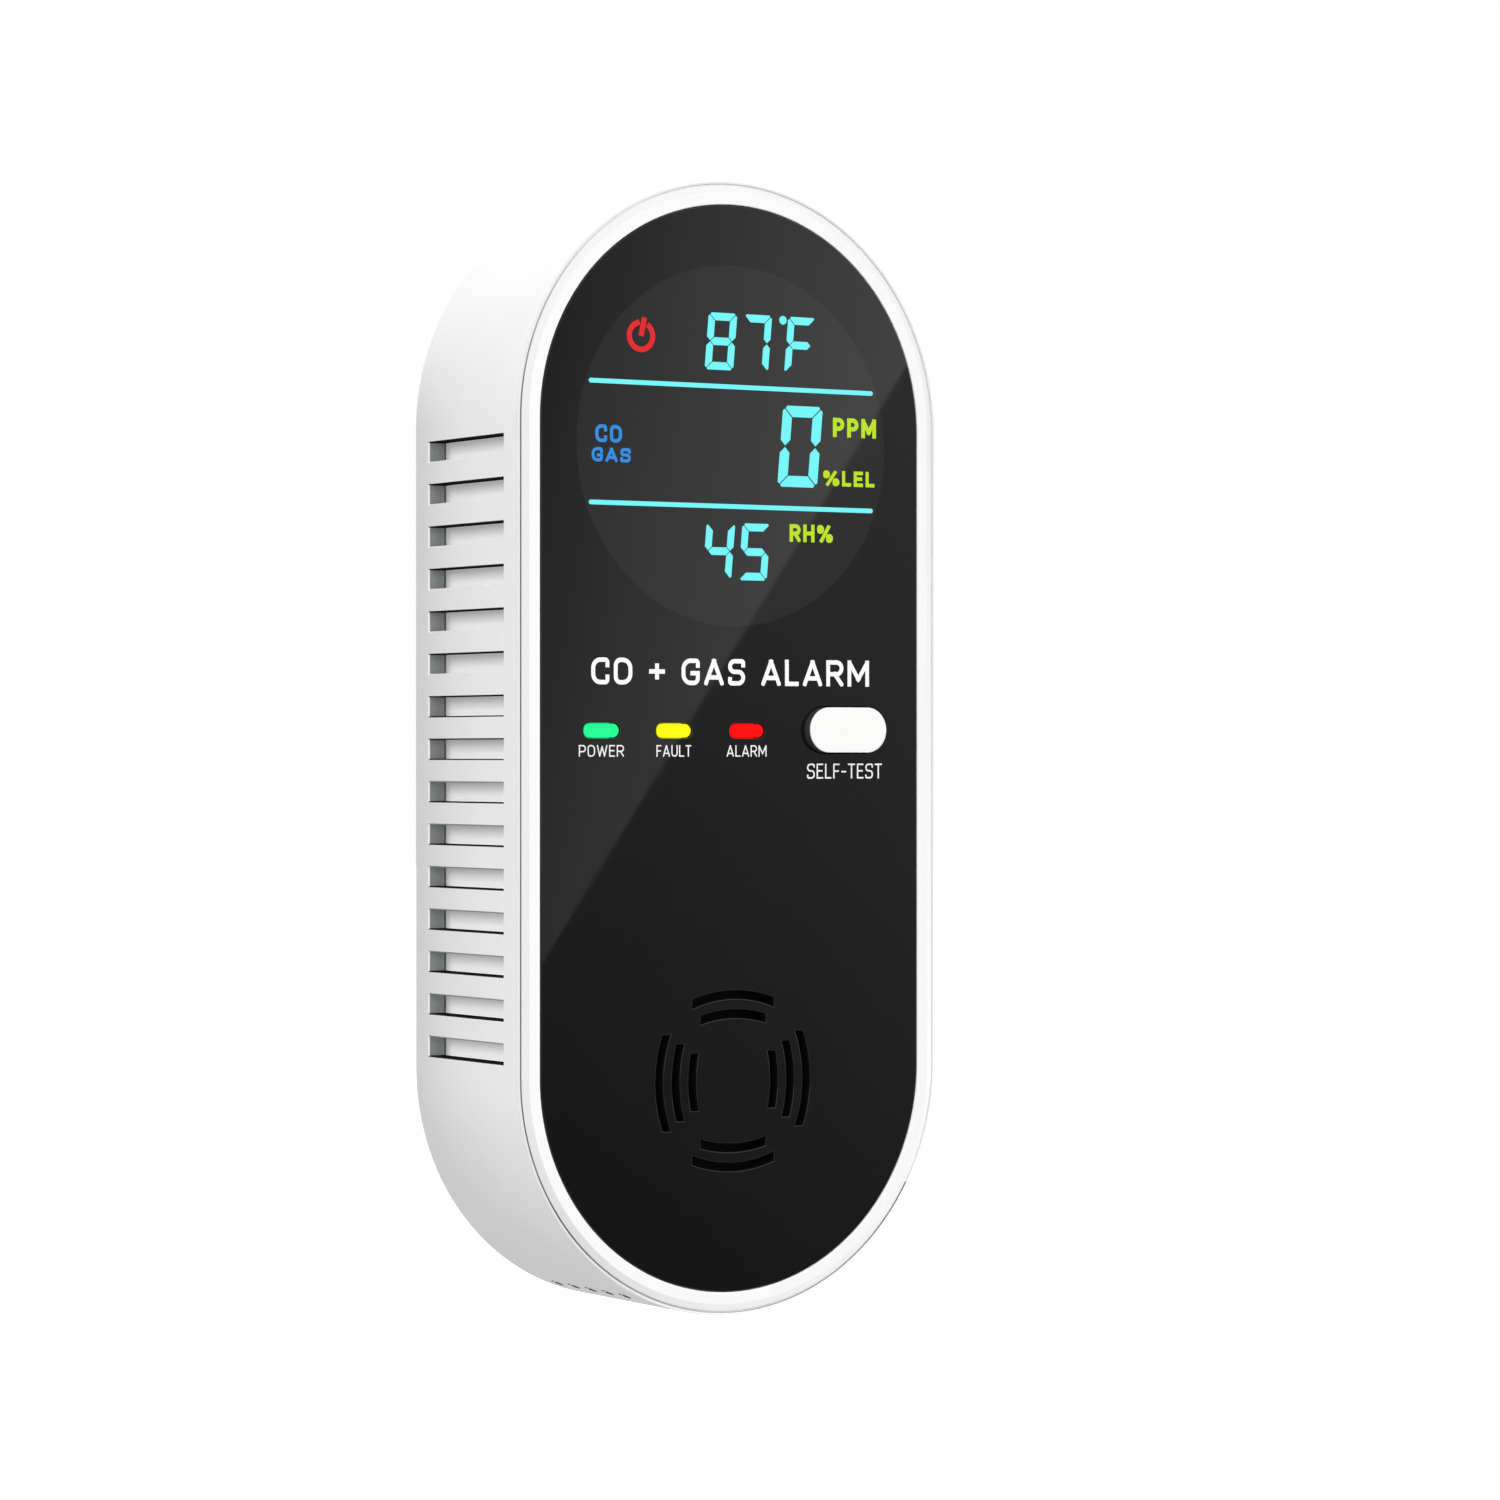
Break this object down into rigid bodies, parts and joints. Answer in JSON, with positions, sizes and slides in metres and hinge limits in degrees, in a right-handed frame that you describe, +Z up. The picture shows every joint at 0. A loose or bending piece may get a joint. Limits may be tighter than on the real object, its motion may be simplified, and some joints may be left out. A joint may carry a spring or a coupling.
{
  "type": "carbon monoxide detector",
  "caption": "Plug-in carbon monoxide and gas detector: a white stadium case with vented sides, a black display window, test button, sounder grille and twist-off plug head.",
  "frame": {"origin": "centre of the plug head's wall face, midway between the two blades", "axes": "+Y into the wall along the blades, so the display faces -Y; +Z up along the case; +X to the right as seen from the front"},
  "size_m": [0.0526, 0.0515, 0.122],
  "materials": {
    "case_white": "satin white moulded plastic",
    "window_black": "glossy smoked black",
    "button_white": "satin white",
    "latch_grey": "satin light grey",
    "plug_white": "satin white moulded plastic",
    "blade_metal": "polished nickel plate",
    "indicator_green": "lit green diffuser",
    "indicator_yellow": "lit yellow diffuser",
    "indicator_red": "lit red diffuser",
    "led_package": "white lamp package",
    "shroud_white": "matt white",
    "display_dark": "dark grey",
    "diffuser_film": "dark grey film",
    "board_green": "green solder mask",
    "chip_black": "matt black",
    "sounder_black": "matt black",
    "gasket_foam": "closed-cell foam",
    "sensor_steel": "steel mesh cap",
    "sensor_resin": "black resin",
    "sensor_white": "white plastic",
    "transformer_core": "dark ferrite",
    "transformer_tape": "yellow insulating tape",
    "capacitor_sleeve": "shrink sleeve",
    "film_capacitor_yellow": "yellow plastic case",
    "varistor_blue": "blue epoxy",
    "fuse_ceramic": "ceramic tube",
    "carrier_natural": "natural plastic",
    "contact_brass": "spring brass",
    "spring_steel": "bright spring wire",
    "screw_steel": "zinc plate",
    "switch_steel": "plated cover"
  },
  "bodies": {
    "case": {"alarm_lamp": "led_package", "alarm_light_pipe": "indicator_red", "board_header": "chip_black", "board_screw_1": "screw_steel", "board_screw_2": "screw_steel", "board_screw_3": "screw_steel", "bridge_rectifier": "chip_black", "carbon_monoxide_sensor": "sensor_white", "case_screw_1": "screw_steel", "case_screw_2": "screw_steel", "case_screw_3": "screw_steel", "case_screw_4": "screw_steel", "contact_carrier": "carrier_natural", "display_film": "diffuser_film", "display_module": "display_dark", "fault_lamp": "led_package", "fault_light_pipe": "indicator_yellow", "filter_capacitor": "film_capacitor_yellow", "front_bezel": "case_white", "front_window": "window_black", "fuse": "fuse_ceramic", "gas_sensor_base": "sensor_resin", "gas_sensor_cap": "sensor_steel", "humidity_sensor": "sensor_white", "latch_spring": "spring_steel", "light_shroud": "shroud_white", "line_contact": "contact_brass", "main_board": "board_green", "microcontroller": "chip_black", "neutral_contact": "contact_brass", "output_capacitor": "capacitor_sleeve", "power_board": "board_green", "power_board_screw_1": "screw_steel", "power_board_screw_2": "screw_steel", "power_board_screw_3": "screw_steel", "power_board_screw_4": "screw_steel", "power_lamp": "led_package", "power_light_pipe": "indicator_green", "rear_housing": "case_white", "reservoir_capacitor": "capacitor_sleeve", "sounder": "sounder_black", "sounder_gasket": "gasket_foam", "surge_arrester": "varistor_blue", "switch_body": "switch_steel", "transformer_core": "transformer_core", "transformer_winding": "transformer_tape"},
    "test_button": {"test_button": "button_white"},
    "switch_plunger": {"switch_plunger": "chip_black"},
    "plug_head": {"plug_head": "plug_white", "line_blade": "blade_metal", "neutral_blade": "blade_metal"},
    "release_latch": {"release_latch": "latch_grey"}
  },
  "joints": [
    {"name": "test_button_press", "type": "slide", "parent": "case", "child": "test_button", "axis": [0, 1, 0], "range_m": [0, 0.0005], "stiffness_N_per_m": 60, "springref_m": -0.0005},
    {"name": "switch_plunger_travel", "type": "slide", "parent": "case", "child": "switch_plunger", "axis": [0, 1, 0], "range_m": [0, 0.0005]},
    {"name": "release_latch_press", "type": "slide", "parent": "case", "child": "release_latch", "axis": [0, -1, 0], "range_m": [0, 0.0015], "stiffness_N_per_m": 60, "springref_m": -0.0005, "deforming": ["latch_spring"]},
    {"name": "plug_head_twist", "type": "hinge", "parent": "case", "child": "plug_head", "pos_m": [0, 0, 0], "axis": [0, 1, 0], "range_deg": [0, 36]}
  ],
  "couplings": [
    {"joint": "switch_plunger_travel", "follows": "test_button_press", "ratio": 1}
  ]
}
